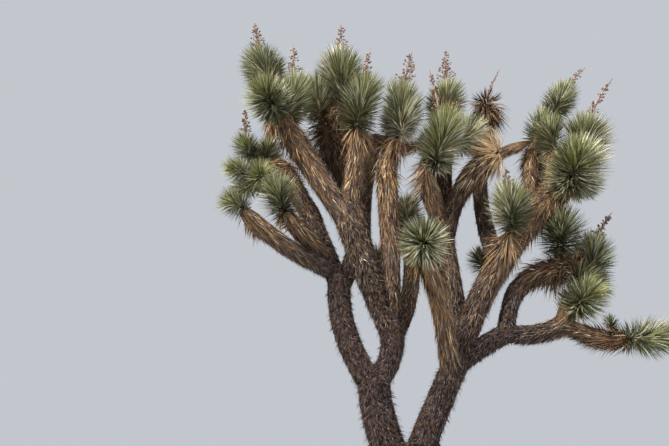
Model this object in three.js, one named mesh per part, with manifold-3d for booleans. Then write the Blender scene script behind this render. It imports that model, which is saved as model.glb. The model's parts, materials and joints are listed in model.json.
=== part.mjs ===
// A joshua tree, rooted: a short trunk with a flared foot, two stems that fork into crooked boughs
// clothed in their own dead leaves, and a rosette of dagger leaves at the tip of every bough.
// Millimetres, +Z up. The origin is the middle of the flat cut at ground level, +X is the side of
// the long low bough, and -Y is the side that the tallest, sunlit rosettes lean to.
import * as THREE from 'three';
import { mergeVertices } from 'three/addons/utils/BufferGeometryUtils.js';
import Module from 'manifold-3d';

const wasm = await Module();
wasm.setup();

// Trunk: bare bark, round at the waist, wide across where the two stems part
const TRUNK_HEIGHT = 1540;
const TRUNK_LEAN = 20;
const FOOT_RADIUS = 430;
const WAIST_RADIUS = 262;
const FLARE_HEIGHT = 420;
const FORK_HALF_WIDTH = 292;
const FORK_HALF_DEPTH = 172;
const FORK_OPENS_FROM = 0.45;
const BUTTRESSES = 5;
const BUTTRESS_DEPTH = 0.07;
const TRUNK_SIDES = 16;
const TRUNK_STEPS = 8;

// Limbs: eight-sided, with a step about every third of a metre
const LIMB_SIDES = 8;
const LIMB_STEP = 290;
const FEWEST_STEPS = 3;
const CLEARANCE = 0.3;
// How far off another solid is still looked at
const REACH_ROUND = 1;

// Each limb springs from another one, at a share of that one's length, and runs to its own tip.
// bow is how far the middle stands off the straight line, foot and tip are radii over the dead
// leaves, and swell is how much fatter a limb with a thick skirt is, on its way to swellEnd.
const LIMBS = [
  { name: 'stem_left', from: 'trunk', at: 0.78, to: [-218, -10, 2070],
    bow: [-55, 0, 0], foot: 156, tip: 146, bare: true },
  { name: 'bough_left', from: 'stem_left', at: 0.88, to: [-500, 0, 2940],
    bow: [-100, 0, 0], foot: 112, tip: 113, bare: true },
  { name: 'bough_left_upper', from: 'bough_left', at: 0.93, to: [-1100, 290, 4300],
    bow: [30, 0, 0], foot: 100, tip: 92 },
  { name: 'arm_left_low', from: 'bough_left_upper', at: 0.1, to: [-1370, -390, 3450],
    bow: [0, -60, -75], foot: 80, tip: 72 },
  { name: 'arm_left', from: 'bough_left_upper', at: 0.2, to: [-1010, -270, 3485],
    bow: [0, -20, -20], foot: 80, tip: 76 },
  { name: 'bough_middle', from: 'stem_left', at: 0.93, to: [-55, -60, 2490],
    bow: [70, 0, -30], foot: 100, tip: 116, bare: true },
  { name: 'bough_middle_left', from: 'bough_middle', at: 0.88, to: [-450, -150, 3650],
    bow: [-15, 0, -20], foot: 118, tip: 152 },
  { name: 'bough_crown_left', from: 'bough_middle_left', at: 0.8, to: [-1000, -250, 4400],
    bow: [-10, 0, 0], foot: 108, tip: 112 },
  { name: 'bough_crown_front', from: 'bough_middle_left', at: 0.93, to: [-325, -255, 4400],
    bow: [30, 0, 0], foot: 108, tip: 92 },
  { name: 'bough_centre', from: 'bough_middle', at: 0.88, to: [-45, -200, 4060],
    bow: [10, -10, 0], foot: 82, tip: 106 },
  { name: 'bough_crown_back', from: 'bough_left', at: 0.9, to: [-590, 320, 4650],
    bow: [240, 220, 0], foot: 90, tip: 105, swell: 55, swellEnd: 1.3 },
  { name: 'bough_behind', from: 'bough_middle', at: 0.82, to: [225, 590, 3690],
    bow: [110, 0, -60], foot: 92, tip: 76 },
  { name: 'stem_right', from: 'trunk', at: 0.78, to: [500, 0, 2165],
    bow: [-4, 0, 20], foot: 124, tip: 114, bare: true },
  { name: 'arm_front', from: 'stem_right', at: 0.9, to: [195, -620, 2920],
    bow: [30, -20, 50], foot: 90, tip: 84 },
  { name: 'bough_right', from: 'stem_right', at: 0.93, to: [1610, -300, 3740],
    bow: [-70, 0, 140], foot: 116, tip: 112 },
  { name: 'bough_inner', from: 'bough_right', at: 0.14, to: [525, 50, 3510],
    bow: [20, 90, 0], foot: 94, tip: 80 },
  { name: 'bough_inner_front', from: 'bough_inner', at: 0.93, to: [340, -210, 4010],
    bow: [-35, 0, 30], foot: 86, tip: 98 },
  { name: 'bough_dry', from: 'bough_inner', at: 0.9, to: [1540, 60, 4475],
    bow: [-145, -60, 150], foot: 100, tip: 26, swell: 60, swellEnd: 0.72 },
  { name: 'bough_inner_back', from: 'bough_inner', at: 0.88, to: [735, 360, 5150],
    bow: [0, 40, 0], foot: 86, tip: 84 },
  { name: 'bough_dead', from: 'bough_right', at: 0.52, to: [1245, 550, 4930],
    bow: [-65, 180, 0], foot: 90, tip: 72 },
  { name: 'bough_right_upper', from: 'bough_right', at: 0.74, to: [1590, 180, 4420],
    bow: [10, 30, 0], foot: 88, tip: 80 },
  { name: 'bough_low', from: 'stem_right', at: 0.97, to: [985, -100, 2430],
    bow: [0, 0, 20], foot: 90, tip: 86, bare: true },
  { name: 'arm_low_riser', from: 'bough_low', at: 0.92, to: [1130, -60, 2850],
    bow: [-10, 10, 40], foot: 78, tip: 80 },
  { name: 'arm_low_upper', from: 'arm_low_riser', at: 0.92, to: [1690, -60, 3040],
    bow: [-20, 0, 70], foot: 78, tip: 80 },
  { name: 'arm_low_outer', from: 'bough_low', at: 0.92, to: [1455, -170, 2490],
    bow: [0, 0, -45], foot: 80, tip: 76 },
  { name: 'arm_low_twig', from: 'arm_low_outer', at: 0.9, to: [1575, -170, 2705],
    bow: [-10, 0, 0], foot: 72, tip: 70 },
  { name: 'arm_low_reach', from: 'arm_low_outer', at: 0.94, to: [1880, -250, 2335],
    bow: [0, 0, -40], foot: 66, tip: 62 },
  { name: 'bough_back_left', from: 'bough_left_upper', at: 0.42, to: [-1380, 950, 4560],
    bow: [140, 60, 50], foot: 86, tip: 78 },
  { name: 'bough_back_middle', from: 'bough_middle_left', at: 0.45, to: [-10, 1080, 5170],
    bow: [-80, 220, -50], foot: 86, tip: 78 },
  { name: 'bough_back_right', from: 'bough_right', at: 0.3, to: [2120, 930, 4520],
    bow: [0, 60, 0], foot: 96, tip: 80 },
];

// Masses: rosettes on twigs that branch from one stem. Sizes without a unit are shares of a head's
// reach, the distance from its middle to its leaf tips.
const LEAVES_IN_ALL = 415;
const SEED_STEP = 7919;
const LEAF_WIDTH = 0.42;
const LEAF_THICKNESS = 0.1;
const LEAF_TIP_VARIES = 0.1;
const LEAF_ROOT_LOWEST = -0.3;
const LEAF_ROOT_RISES = 0.45;
const HEART_LEAF = 0.97;
const LOWEST_LEAF = -0.6;
const LONG = 1.1;
const CORE_SHARE = 0.72;
const TWIG_SIDES = 5;
const TWIG_FOOT_SHARE = 0.84;
const TWIG_TIP_SHARE = 0.3;
const TWIG_BEND_SHARE = 0.8;
const GOLDEN_ANGLE = Math.PI * (3 - Math.sqrt(5));
// The widest a leaf strays from its golden angle, and a direction that no head or stalk points in
const STRAY_ANGLE = 0.5;
const FIRST_SIDE = new THREE.Vector3(0.31, 0.53, 0.79);

// Dried flower stalks: three-sided, with seed cases set round their upper part
const STALK_RADIUS = 22;
const SEED_CASES = 3;
const SEED_CASE_RADIUS = 34;
const SEED_CASE_LENGTH = 70;
const LOWEST_CASE = 0.62;
const HIGHEST_CASE = 0.86;
const CASE_STANDS_OFF = 0.4;
// What is added to the share still to go up a stalk, for its radius and for the size of its cases
const STALK_TIP_SHARE = 0.2;
const CASE_TIP_SHARE = 0.6;

// Each head has the middle of its ball of leaves, its reach, the way its heart faces, how much
// longer it is along that way (LONG where it isn't given), and its flower stalk's tip, if any.
const MASSES = [
  { name: 'rosette_crown_left', on: 'bough_crown_left', at: 1, heads: [
    { at: [-1340, -60, 5365], reach: 315, face: [-0.5, 0.1, 1], stalk: [-1500, -60, 6060] }] },
  { name: 'rosette_crown_left_front', on: 'bough_crown_left', at: 0.97, heads: [
    { at: [-1205, -450, 4650], reach: 300, face: [-0.4, -1, 0.3] }] },
  { name: 'rosette_crown_left_side', on: 'bough_crown_left', at: 1, heads: [
    { at: [-985, -190, 4840], reach: 275, face: [0.2, 0, 1], long: 1.6,
      stalk: [-1010, -180, 5610] }] },
  { name: 'rosette_left_top', on: 'bough_left_upper', at: 1, heads: [
    { at: [-1475, 60, 4395], reach: 215, face: [-0.5, -0.4, 1], stalk: [-1530, 40, 4900] },
    { at: [-1290, 250, 4440], reach: 230, face: [0.2, -0.3, 1] }] },
  { name: 'rosette_left_front', on: 'bough_left_upper', at: 0.93, heads: [
    { at: [-1290, -60, 3985], reach: 225, face: [-0.1, -1, 0.1] },
    { at: [-1510, -80, 4050], reach: 200, face: [-1, -0.5, 0.3] },
    { at: [-1530, 300, 4040], reach: 190, face: [-0.8, 0.6, 0] }] },
  { name: 'rosette_left_arm', on: 'arm_left', at: 1, heads: [
    { at: [-1055, -360, 3615], reach: 250, face: [-0.35, -0.6, 1], long: 1.2 }] },
  { name: 'rosette_left_low', on: 'arm_left_low', at: 1, heads: [
    { at: [-1445, -455, 3495], reach: 185, face: [-1, -0.3, 0.3] }] },
  { name: 'rosette_crown_back', on: 'bough_crown_back', at: 1, heads: [
    { at: [-470, 300, 5520], reach: 385, face: [-0.1, -0.1, 1], long: 1.3,
      stalk: [-465, 300, 6400] },
    { at: [-750, 300, 5220], reach: 280, face: [-0.15, 0, 1], long: 1.5 }] },
  { name: 'rosette_crown_front', on: 'bough_crown_front', at: 1, heads: [
    { at: [-275, -350, 4650], reach: 320, face: [0.3, -0.3, 1], long: 1.3, stalk: [-170, -330, 5420] }] },
  { name: 'rosette_centre', on: 'bough_centre', at: 1, heads: [
    { at: [130, -250, 4640], reach: 305, face: [0, -0.1, 1], long: 1.45, stalk: [300, -250, 5440] }] },
  { name: 'rosette_inner_back', on: 'bough_inner_back', at: 1, heads: [
    { at: [765, 400, 5225], reach: 300, face: [0.3, 0, 1], long: 1.4, stalk: [850, 400, 6070] }] },
  { name: 'rosette_inner_front', on: 'bough_inner_front', at: 1, heads: [
    { at: [495, -350, 4230], reach: 310, face: [0.3, -0.5, 1], long: 1.4,
      stalk: [458, -250, 5200] },
    { at: [840, -60, 4480], reach: 265, face: [0.8, 0, 0.7] }] },
  { name: 'head_dead', on: 'bough_dead', at: 1, dead: true, heads: [
    { at: [1296, 560, 5250], reach: 300, face: [0, 0, 1], stalk: [1545, 560, 5890] }] },
  { name: 'rosette_front', on: 'arm_front', at: 1, heads: [
    { at: [160, -760, 2995], reach: 255, face: [-0.1, -1, 0.1] }] },
  { name: 'rosette_behind', on: 'bough_behind', at: 1, heads: [
    { at: [270, 660, 3930], reach: 255, face: [0.1, 0.1, 1] },
    { at: [-50, 930, 3480], reach: 205, face: [-0.7, 0.6, 0.5] },
    { at: [420, 1180, 3930], reach: 230, face: [0.3, 1, 0.4] }] },
  { name: 'rosette_right_inner', on: 'bough_right', at: 0.52, heads: [
    { at: [1010, -470, 3445], reach: 270, face: [-0.05, -0.25, 1], long: 1.2, stalk: [1010, -480, 3850] }] },
  { name: 'rosette_right_shade', on: 'bough_dead', at: 0.1, heads: [
    { at: [965, 400, 3240], reach: 210, face: [-0.5, -0.3, 0.8] }] },
  { name: 'rosette_right_column', on: 'bough_right_upper', at: 1, heads: [
    { at: [1740, 195, 4720], reach: 230, face: [0.3, 0, 1], long: 1.6 },
    { at: [2050, 250, 5160], reach: 235, face: [0.6, 0, 1], long: 1.6,
      stalk: [2440, 250, 5640] }] },
  { name: 'rosette_right_middle', on: 'bough_right', at: 0.95, heads: [
    { at: [1730, -40, 4480], reach: 265, face: [0, 0, 1] }] },
  { name: 'rosette_right_outer', on: 'bough_right', at: 1, heads: [
    { at: [1975, -170, 4345], reach: 335, face: [0.4, 0, 1], stalk: [2440, -170, 5130] }] },
  { name: 'rosette_right_front', on: 'bough_right', at: 0.97, heads: [
    { at: [1600, -600, 3790], reach: 335, face: [0.15, -0.85, 0.55] }] },
  { name: 'rosette_low_upper', on: 'arm_low_upper', at: 0.78, heads: [
    { at: [1545, -200, 3325], reach: 295, face: [-0.2, -0.6, 1] }] },
  { name: 'rosette_low_pair', on: 'arm_low_upper', at: 1, heads: [
    { at: [1890, 0, 3150], reach: 250, face: [0.35, 0.1, 1], long: 1.4, stalk: [2210, 50, 3640] },
    { at: [1700, -190, 2835], reach: 225, face: [0.5, -0.5, -0.7], long: 1.2 }] },
  { name: 'rosette_low_middle', on: 'arm_low_twig', at: 1, heads: [
    { at: [1575, -320, 2665], reach: 240, face: [0.3, -0.8, 0.5] }] },
  { name: 'rosette_low_outer', on: 'arm_low_reach', at: 1, heads: [
    { at: [2085, -290, 2335], reach: 215, face: [1, -0.1, 0.05], long: 1.7 }] },
  { name: 'rosette_low_shoot', on: 'arm_low_reach', at: 0.82, heads: [
    { at: [1870, -100, 2500], reach: 95, face: [0.1, 0.3, 1], long: 1.3 }] },
  { name: 'rosette_back_left', on: 'bough_back_left', at: 1, heads: [
    { at: [-1420, 1060, 4820], reach: 290, face: [-0.2, 0.3, 1], long: 1.3 },
    { at: [-1330, 880, 5640], reach: 280, face: [0, 0, 1] }] },
  { name: 'rosette_back_middle', on: 'bough_back_middle', at: 1, heads: [
    { at: [-360, 1150, 5460], reach: 310, face: [-0.4, 0.1, 1], long: 1.4 },
    { at: [290, 1080, 5480], reach: 310, face: [0.1, 0, 1], long: 1.5 },
    { at: [780, 1180, 5180], reach: 300, face: [0.7, 0.4, 0.7] }] },
  { name: 'rosette_back_right', on: 'bough_back_right', at: 1, heads: [
    { at: [2200, 1060, 4830], reach: 320, face: [0, 0.3, 1], long: 1.4 },
    { at: [2420, 830, 4380], reach: 270, face: [1, 0.1, 0.4] },
    { at: [1800, 1200, 4250], reach: 260, face: [-0.4, 1, 0.3] }] },
];

const COLOURS = { bark: 0x5a4c40, thatch: 0x94704a, leaf: 0x6f7d4e, dead: 0x8a7358 };

// Solids: a closed three.js geometry made ready for joining and cutting, and back
function solidOf(geometry) {
  const bare = geometry.clone();
  bare.deleteAttribute('normal');
  bare.deleteAttribute('uv');
  const merged = mergeVertices(bare, 1e-4);
  return new wasm.Manifold(new wasm.Mesh({
    numProp: 3,
    vertProperties: new Float32Array(merged.attributes.position.array),
    triVerts: new Uint32Array(merged.index.array),
  }));
}

function geometryOf(solid) {
  const mesh = solid.getMesh();
  const geometry = new THREE.BufferGeometry();
  geometry.setAttribute('position', new THREE.BufferAttribute(mesh.vertProperties, 3));
  geometry.setIndex(new THREE.BufferAttribute(mesh.triVerts, 1));
  geometry.computeVertexNormals();
  return geometry;
}

// The largest body of a solid: the scraps that a cut leaves loose are dropped
function mainBody(solid) {
  const bodies = solid.decompose();
  return bodies.reduce((best, body) => (body.volume() > best.volume() ? body : best));
}

// A number from 0 to 1 that follows from a seed, so every build grows the same tree
function seededRandom(seed) {
  let state = seed;
  return () => {
    state = (state * 1664525 + 1013904223) % 4294967296;
    return state / 4294967296;
  };
}

// A cylinder bent along a curve, with radius(share of its length, angle) at every ring
function bentTube(curve, radius, sides, steps) {
  const geometry = new THREE.CylinderGeometry(1, 1, 1, sides, steps);
  const frames = curve.computeFrenetFrames(steps);
  const vertices = geometry.attributes.position;
  for (let i = 0; i < vertices.count; i += 1) {
    const share = vertices.getY(i) + 0.5;
    const step = Math.round(share * steps);
    const angle = Math.atan2(vertices.getZ(i), vertices.getX(i));
    const across = radius(share, angle);
    const place = curve.getPointAt(share);
    place.addScaledVector(frames.normals[step], vertices.getX(i) * across);
    place.addScaledVector(frames.binormals[step], -vertices.getZ(i) * across);
    vertices.setXYZ(i, place.x, place.y, place.z);
  }
  return geometry;
}

// The trunk, upright with a slight lean: flared and buttressed at the foot, oval at the fork
function trunkGeometry(extra) {
  const geometry = new THREE.CylinderGeometry(1, 1, 1, TRUNK_SIDES, TRUNK_STEPS);
  const vertices = geometry.attributes.position;
  for (let i = 0; i < vertices.count; i += 1) {
    const share = vertices.getY(i) + 0.5;
    const height = share * TRUNK_HEIGHT;
    const angle = Math.atan2(vertices.getZ(i), vertices.getX(i));
    const flare = Math.exp(-height / FLARE_HEIGHT);
    const lobes = 1 + BUTTRESS_DEPTH * flare * Math.cos(BUTTRESSES * angle);
    const round = WAIST_RADIUS + (FOOT_RADIUS - WAIST_RADIUS) * flare;
    const opened = THREE.MathUtils.smoothstep(share, FORK_OPENS_FROM, 1);
    const wide = THREE.MathUtils.lerp(round * lobes, FORK_HALF_WIDTH, opened) + extra;
    const deep = THREE.MathUtils.lerp(round * lobes, FORK_HALF_DEPTH, opened) + extra;
    const lift = share === 1 ? extra : 0;
    vertices.setXYZ(
      i,
      vertices.getX(i) * wide + TRUNK_LEAN * share,
      -vertices.getZ(i) * deep,
      height + lift,
    );
  }
  return geometry;
}

// Limbs: each one's curve, its radius and its solid, grown all round by extra where asked
const curves = {
  trunk: new THREE.LineCurve3(
    new THREE.Vector3(0, 0, 0),
    new THREE.Vector3(TRUNK_LEAN, 0, TRUNK_HEIGHT),
  ),
};

function limbCurve(limb) {
  const foot = curves[limb.from].getPointAt(limb.at);
  const tip = new THREE.Vector3(...limb.to);
  const elbow = foot.clone().lerp(tip, 0.5).addScaledVector(new THREE.Vector3(...limb.bow), 2);
  return new THREE.QuadraticBezierCurve3(foot, elbow, tip);
}

function limbGeometry(limb, extra) {
  const curve = curves[limb.name];
  const swell = limb.swell || 0;
  const steps = Math.max(FEWEST_STEPS, Math.round(curve.getLength() / LIMB_STEP));
  const radius = (share) => {
    const taper = THREE.MathUtils.lerp(limb.foot, limb.tip, share);
    const bulge = Math.sin(Math.PI * Math.min(1, share / (limb.swellEnd || 1)) ** 2) ** 2;
    return taper + swell * bulge + extra;
  };
  return bentTube(longerCurve(curve, extra), radius, LIMB_SIDES, steps);
}

// The same curve with both ends moved on by extra, so that a grown limb clears its ends too
function longerCurve(curve, extra) {
  const foot = curve.v0.clone().addScaledVector(curve.getTangentAt(0), -extra);
  const tip = curve.v2.clone().addScaledVector(curve.getTangentAt(1), extra);
  return new THREE.QuadraticBezierCurve3(foot, curve.v1, tip);
}

// Leaves, cores, stalks and twigs
// A geometry that points along +Z turned to point along way, and moved to place
function directed(geometry, place, way) {
  const turn = new THREE.Quaternion().setFromUnitVectors(
    new THREE.Vector3(0, 0, 1),
    way.clone().normalize(),
  );
  geometry.applyQuaternion(turn);
  geometry.translate(place.x, place.y, place.z);
  return geometry;
}

// One dagger leaf of eight faces, from its root to its tip, widest half way
function daggerSolid(leaf, reach) {
  const blade = new THREE.OctahedronGeometry(1, 0);
  const length = leaf.root.distanceTo(leaf.tip);
  blade.scale((LEAF_WIDTH * reach) / 2, (LEAF_THICKNESS * reach) / 2, length / 2);
  blade.rotateZ(leaf.twist);
  const middle = leaf.root.clone().lerp(leaf.tip, 0.5);
  return solidOf(directed(blade, middle, leaf.tip.clone().sub(leaf.root)));
}

// Where the leaves of a head go: spread by the golden angle from its heart to its underside
function leafPlaces(head, count, random) {
  const middle = new THREE.Vector3(...head.at);
  const way = new THREE.Vector3(...head.face).normalize();
  const side = FIRST_SIDE.clone().cross(way).normalize();
  const long = head.long || LONG;
  const places = [];
  for (let i = 0; i < count; i += 1) {
    const rise = THREE.MathUtils.lerp(HEART_LEAF, LOWEST_LEAF, (i + 0.5) / count);
    const out = side.clone().applyAxisAngle(way, i * GOLDEN_ANGLE + STRAY_ANGLE * random());
    const reach = head.reach * (1 - LEAF_TIP_VARIES * random());
    const tip = middle.clone().addScaledVector(way, rise * reach * long);
    tip.addScaledVector(out, Math.sqrt(1 - rise * rise) * reach);
    const rootShare = LEAF_ROOT_LOWEST + LEAF_ROOT_RISES * rise;
    const root = middle.clone().addScaledVector(way, rootShare * reach * long);
    places.push({ root, tip, twist: 2 * Math.PI * random() });
  }
  return places;
}

function coreSolid(head, extra) {
  const core = new THREE.IcosahedronGeometry(head.reach * CORE_SHARE + extra, 0);
  core.scale(1, 1, head.long || LONG);
  const middle = new THREE.Vector3(...head.at);
  return solidOf(directed(core, middle, new THREE.Vector3(...head.face)));
}

function stalkSolid(head) {
  const foot = new THREE.Vector3(...head.at);
  const tip = new THREE.Vector3(...head.stalk);
  const way = tip.clone().sub(foot).normalize();
  const line = new THREE.LineCurve3(foot, tip);
  const side = FIRST_SIDE.clone().cross(way).normalize();
  let stalk = solidOf(bentTube(line, (share) => STALK_RADIUS * (1 - share + STALK_TIP_SHARE), 3, 1));
  for (let i = 0; i < SEED_CASES; i += 1) {
    const share = THREE.MathUtils.lerp(LOWEST_CASE, HIGHEST_CASE, i / (SEED_CASES - 1));
    const radius = SEED_CASE_RADIUS * (1 - share + CASE_TIP_SHARE);
    const out = side.clone().applyAxisAngle(way, i * GOLDEN_ANGLE);
    const seedCase = new THREE.OctahedronGeometry(1, 0);
    seedCase.scale(radius, radius, SEED_CASE_LENGTH);
    const place = line.getPointAt(share).addScaledVector(out, radius * CASE_STANDS_OFF);
    stalk = stalk.add(solidOf(directed(seedCase, place, way)));
  }
  return stalk;
}

// A mass without its leaves: a twig from the bough to each head, its core and its stalk
function massBody(mass, extra) {
  const limb = LIMBS.find((one) => one.name === mass.on);
  const foot = curves[mass.on].getPointAt(mass.at);
  const pieces = mass.heads.flatMap((head) => {
    const middle = new THREE.Vector3(...head.at);
    const way = new THREE.Vector3(...head.face).normalize();
    const elbow = middle.clone().addScaledVector(way, -head.reach * TWIG_BEND_SHARE);
    const curve = new THREE.QuadraticBezierCurve3(foot, elbow, middle);
    const footRadius = limb.tip * TWIG_FOOT_SHARE + extra;
    const tipRadius = head.reach * TWIG_TIP_SHARE + extra;
    const radius = (share) => THREE.MathUtils.lerp(footRadius, tipRadius, share);
    const steps = Math.max(2, Math.round(curve.getLength() / LIMB_STEP));
    const twig = solidOf(bentTube(longerCurve(curve, extra), radius, TWIG_SIDES, steps));
    const stalk = head.stalk ? [stalkSolid(head)] : [];
    return [twig, coreSolid(head, extra), ...stalk];
  });
  return pieces.reduce((body, piece) => body.add(piece));
}

// A point is in its mass's own space where no head of another mass is relatively nearer
function inOwnSpace(point, mass, head) {
  const beyond = (other) => point.distanceTo(new THREE.Vector3(...other.at)) - other.reach;
  const rivals = MASSES.filter((other) => other !== mass).flatMap((other) => other.heads);
  return rivals.every((rival) => beyond(rival) > beyond(head));
}

function boxesMeet(one, other) {
  return [0, 1, 2].every((i) => (
    one.min[i] - REACH_ROUND < other.max[i] && other.min[i] - REACH_ROUND < one.max[i]
  ));
}

function near(solid, others) {
  const box = solid.boundingBox();
  return others.filter((other) => boxesMeet(box, other.boundingBox()));
}

function touches(solid, others) {
  return near(solid, others).some((other) => solid.minGap(other, REACH_ROUND) < CLEARANCE * 2);
}

// A mass's body with every leaf fused on that stays in its space and touches nothing else
function leafyMass(mass, body, others) {
  const random = seededRandom(SEED_STEP * (MASSES.indexOf(mass) + 1));
  let solid = body;
  for (const head of mass.heads) {
    const count = Math.round((LEAVES_IN_ALL * leafShare(head)) / LEAF_SHARES);
    for (const place of leafPlaces(head, count, random)) {
      const leaf = daggerSolid(place, head.reach);
      if (inOwnSpace(place.tip, mass, head) && !touches(leaf, others)) {
        solid = solid.add(leaf);
      }
    }
  }
  return solid;
}

function leafShare(head) {
  return head.reach * (head.long || 1);
}

const LEAF_SHARES = MASSES.flatMap((mass) => mass.heads).reduce(
  (sum, head) => sum + leafShare(head),
  0,
);

// The tree
const tree = new THREE.Group();

function addMesh(name, solid, colour, roughness) {
  const material = new THREE.MeshStandardMaterial({ color: colour, roughness, metalness: 0 });
  const mesh = new THREE.Mesh(geometryOf(solid), material);
  mesh.name = name;
  tree.add(mesh);
}

// Limbs, from the trunk out: each is cut clear of every limb before it
const limbs = [solidOf(trunkGeometry(0))];
const grownLimbs = [solidOf(trunkGeometry(CLEARANCE))];
addMesh('trunk', limbs[0], COLOURS.bark, 0.95);
for (const limb of LIMBS) {
  curves[limb.name] = limbCurve(limb);
  const whole = solidOf(limbGeometry(limb, 0));
  const cut = near(whole, grownLimbs).reduce((rest, other) => rest.subtract(other), whole);
  limbs.push(mainBody(cut));
  grownLimbs.push(solidOf(limbGeometry(limb, CLEARANCE)));
  addMesh(limb.name, limbs.at(-1), limb.bare ? COLOURS.bark : COLOURS.thatch, 0.95);
}

// Masses: all their bodies first, so that every leaf keeps clear of each of them
const bodies = [];
const grownBodies = [];
for (const mass of MASSES) {
  const whole = massBody(mass, 0);
  const neighbours = near(whole, [...grownLimbs, ...grownBodies]);
  bodies.push(mainBody(neighbours.reduce((rest, other) => rest.subtract(other), whole)));
  grownBodies.push(massBody(mass, CLEARANCE * 2));
}
MASSES.forEach((mass, i) => {
  const others = [...limbs, ...bodies.filter((body) => body !== bodies[i])];
  bodies[i] = mainBody(leafyMass(mass, bodies[i], others));
  addMesh(mass.name, bodies[i], mass.dead ? COLOURS.dead : COLOURS.leaf, 0.8);
});

export default tree;
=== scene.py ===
import json
import math
from dataclasses import dataclass

import bmesh
import bpy
import numpy as np
from mathutils import Matrix, Vector, noise

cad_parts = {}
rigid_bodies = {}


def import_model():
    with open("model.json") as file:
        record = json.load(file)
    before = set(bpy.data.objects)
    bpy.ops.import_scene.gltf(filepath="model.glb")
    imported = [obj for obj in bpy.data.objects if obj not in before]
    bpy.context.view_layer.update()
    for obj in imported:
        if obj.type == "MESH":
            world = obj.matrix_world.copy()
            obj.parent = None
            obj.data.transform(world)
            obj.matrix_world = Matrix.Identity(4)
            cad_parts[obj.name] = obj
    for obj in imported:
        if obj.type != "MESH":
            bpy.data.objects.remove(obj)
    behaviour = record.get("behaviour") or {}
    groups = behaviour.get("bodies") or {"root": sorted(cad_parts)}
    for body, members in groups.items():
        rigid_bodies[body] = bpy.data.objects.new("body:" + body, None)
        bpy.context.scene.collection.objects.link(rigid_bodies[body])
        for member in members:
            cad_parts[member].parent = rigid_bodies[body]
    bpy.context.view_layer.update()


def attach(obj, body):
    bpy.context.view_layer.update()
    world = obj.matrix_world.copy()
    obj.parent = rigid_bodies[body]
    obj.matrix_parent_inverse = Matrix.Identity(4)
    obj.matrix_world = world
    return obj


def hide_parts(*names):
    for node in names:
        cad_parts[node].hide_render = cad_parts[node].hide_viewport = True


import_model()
chance = np.random.default_rng(11)
noise.seed_set(11)

# The view
# A camera low and close in front of the tree, tilted up into the crown as the photograph was
# taken. The tree stands clear against a plain pale backdrop, in soft light from three panels.
CAMERA_PLACE = (-0.55, -4.5, 1.5)
CAMERA_TILT = math.radians(24)
CAMERA_LENS = 27.175
CAMERA_SENSOR = 36
BACKDROP_COLOUR = (0.80, 0.84, 0.90, 1)
BACKDROP_STRENGTH = 0.68
CROWN_MIDDLE = Vector((0.4, 0.2, 4.2))
# Each square panel has its place, its side, its power and its colour
LIGHTS = {
    "key_light": ((-6.0, -5.5, 11.5), 2.6, 2600, (1.0, 0.96, 0.88)),
    "fill_light": ((7.5, -7.0, 3.6), 4.0, 420, (0.90, 0.93, 1.0)),
    "back_light": ((3.0, 8.5, 10.0), 5.0, 600, (1.0, 0.98, 0.94)),
}

camera = bpy.data.objects.new("camera", bpy.data.cameras.new("camera"))
camera.data.lens = CAMERA_LENS
camera.data.sensor_width = CAMERA_SENSOR
camera.location = CAMERA_PLACE
camera.rotation_euler = (math.pi / 2 + CAMERA_TILT, 0, 0)
bpy.context.scene.collection.objects.link(camera)
bpy.context.scene.camera = camera
bpy.context.scene.view_settings.view_transform = "Standard"

backdrop = bpy.data.worlds.new("backdrop")
backdrop.use_nodes = True
backdrop.node_tree.nodes["Background"].inputs["Color"].default_value = BACKDROP_COLOUR
backdrop.node_tree.nodes["Background"].inputs["Strength"].default_value = BACKDROP_STRENGTH
bpy.context.scene.world = backdrop

for name, (place, side, power, colour) in LIGHTS.items():
    light = bpy.data.lights.new(name, "AREA")
    light.size = side
    light.energy = power
    light.color = colour
    lamp = bpy.data.objects.new(name, light)
    lamp.location = place
    lamp.rotation_euler = (CROWN_MIDDLE - lamp.location).to_track_quat("-Z", "Y").to_euler()
    lamp.visible_camera = False
    bpy.context.scene.collection.objects.link(lamp)

# The trunk and stems
# Living wood under cork-like bark, grey-brown and split into rough plates that run lengthwise.
# They grow from one root, so their meshes are grown together into one skin.
TRUNK_HEIGHT = 1.54
TRUNK_LEAN = 0.02
FOOT_RADIUS = 0.43
WAIST_RADIUS = 0.262
FLARE_HEIGHT = 0.42
FORK_HALF_WIDTH = 0.292
FORK_HALF_DEPTH = 0.172
FORK_OPENS_FROM = 0.45
BUTTRESSES = 5
BUTTRESS_DEPTH = 0.07
TRUNK_SIDES = 48
TRUNK_STEPS = 24
# Each limb springs from another, at a share of its length, and runs to its own tip: its name, the
# limb it springs from, that share, its tip, how far its middle stands off the straight line, and
# its radii over the dead leaves at foot and tip.
STEMS = [
    ("stem_left", "trunk", 0.78, (-0.218, -0.01, 2.07), (-0.055, 0, 0), (0.156, 0.146)),
    ("bough_left", "stem_left", 0.88, (-0.5, 0, 2.94), (-0.1, 0, 0), (0.112, 0.113)),
    ("bough_middle", "stem_left", 0.93, (-0.055, -0.06, 2.49), (0.07, 0, -0.03), (0.1, 0.116)),
    ("stem_right", "trunk", 0.78, (0.5, 0, 2.165), (-0.004, 0, 0.02), (0.124, 0.114)),
    ("bough_low", "stem_right", 0.97, (0.985, -0.1, 2.43), (0, 0, 0.02), (0.09, 0.086)),
]
LINE_POINTS = 81
LIMB_SIDES = 16
LIMB_STEP = 0.08
BARK_SHARE = 0.93
BARK_VOXEL = 0.0105
SETTLING = 0.5
SETTLING_ROUNDS = 6
BARK_DEPTH = 0.016
PLATE_WIDTH = 0.042
PLATE_LENGTH = 0.095
PLATE_EDGE = 2.4
PLATE_TOP = 0.9
PLATE_BEND = 0.35
PLATE_BEND_SCALE = 6
GRAIN = 0.45
GRAIN_SCALE = 40
GRAIN_FRACTAL = (0.9, 2.0, 3)
GROUND_BAND = 0.02
BARK_GRAIN_STRETCH = (60, 60, 18)
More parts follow.
